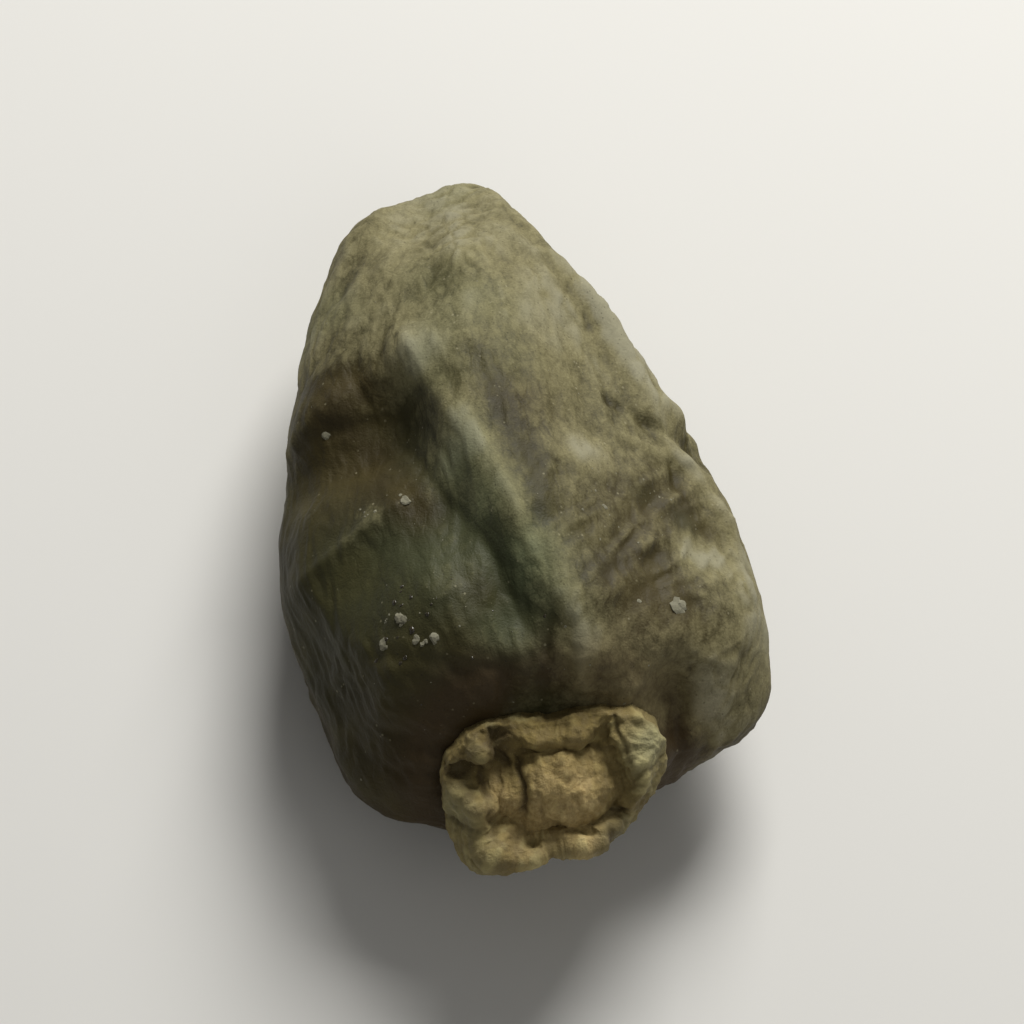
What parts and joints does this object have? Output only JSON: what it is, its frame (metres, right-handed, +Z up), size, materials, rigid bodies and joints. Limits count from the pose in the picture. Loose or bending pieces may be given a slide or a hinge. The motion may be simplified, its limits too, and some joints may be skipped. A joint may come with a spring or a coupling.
{
  "type": "dried marking nut",
  "caption": "Dried heart-shaped nut with a creased, dusty dark shell and the torn remains of its fleshy receptacle at the base.",
  "frame": {"origin": "centre of the bounding box, on the surface that the nut lies on", "axes": "+Y along the nut towards its narrow apex, +X across it, +Z up out of the creased face"},
  "size_m": [0.02, 0.0328, 0.0132],
  "materials": {
    "nut_skin": "dried olive-black shell with a dusty bloom and a dull sheen",
    "withered_flesh": "dry, torn and crumbly, matt"
  },
  "bodies": {
    "root": {"nut_body": "nut_skin", "receptacle": "withered_flesh"}
  },
  "joints": []
}
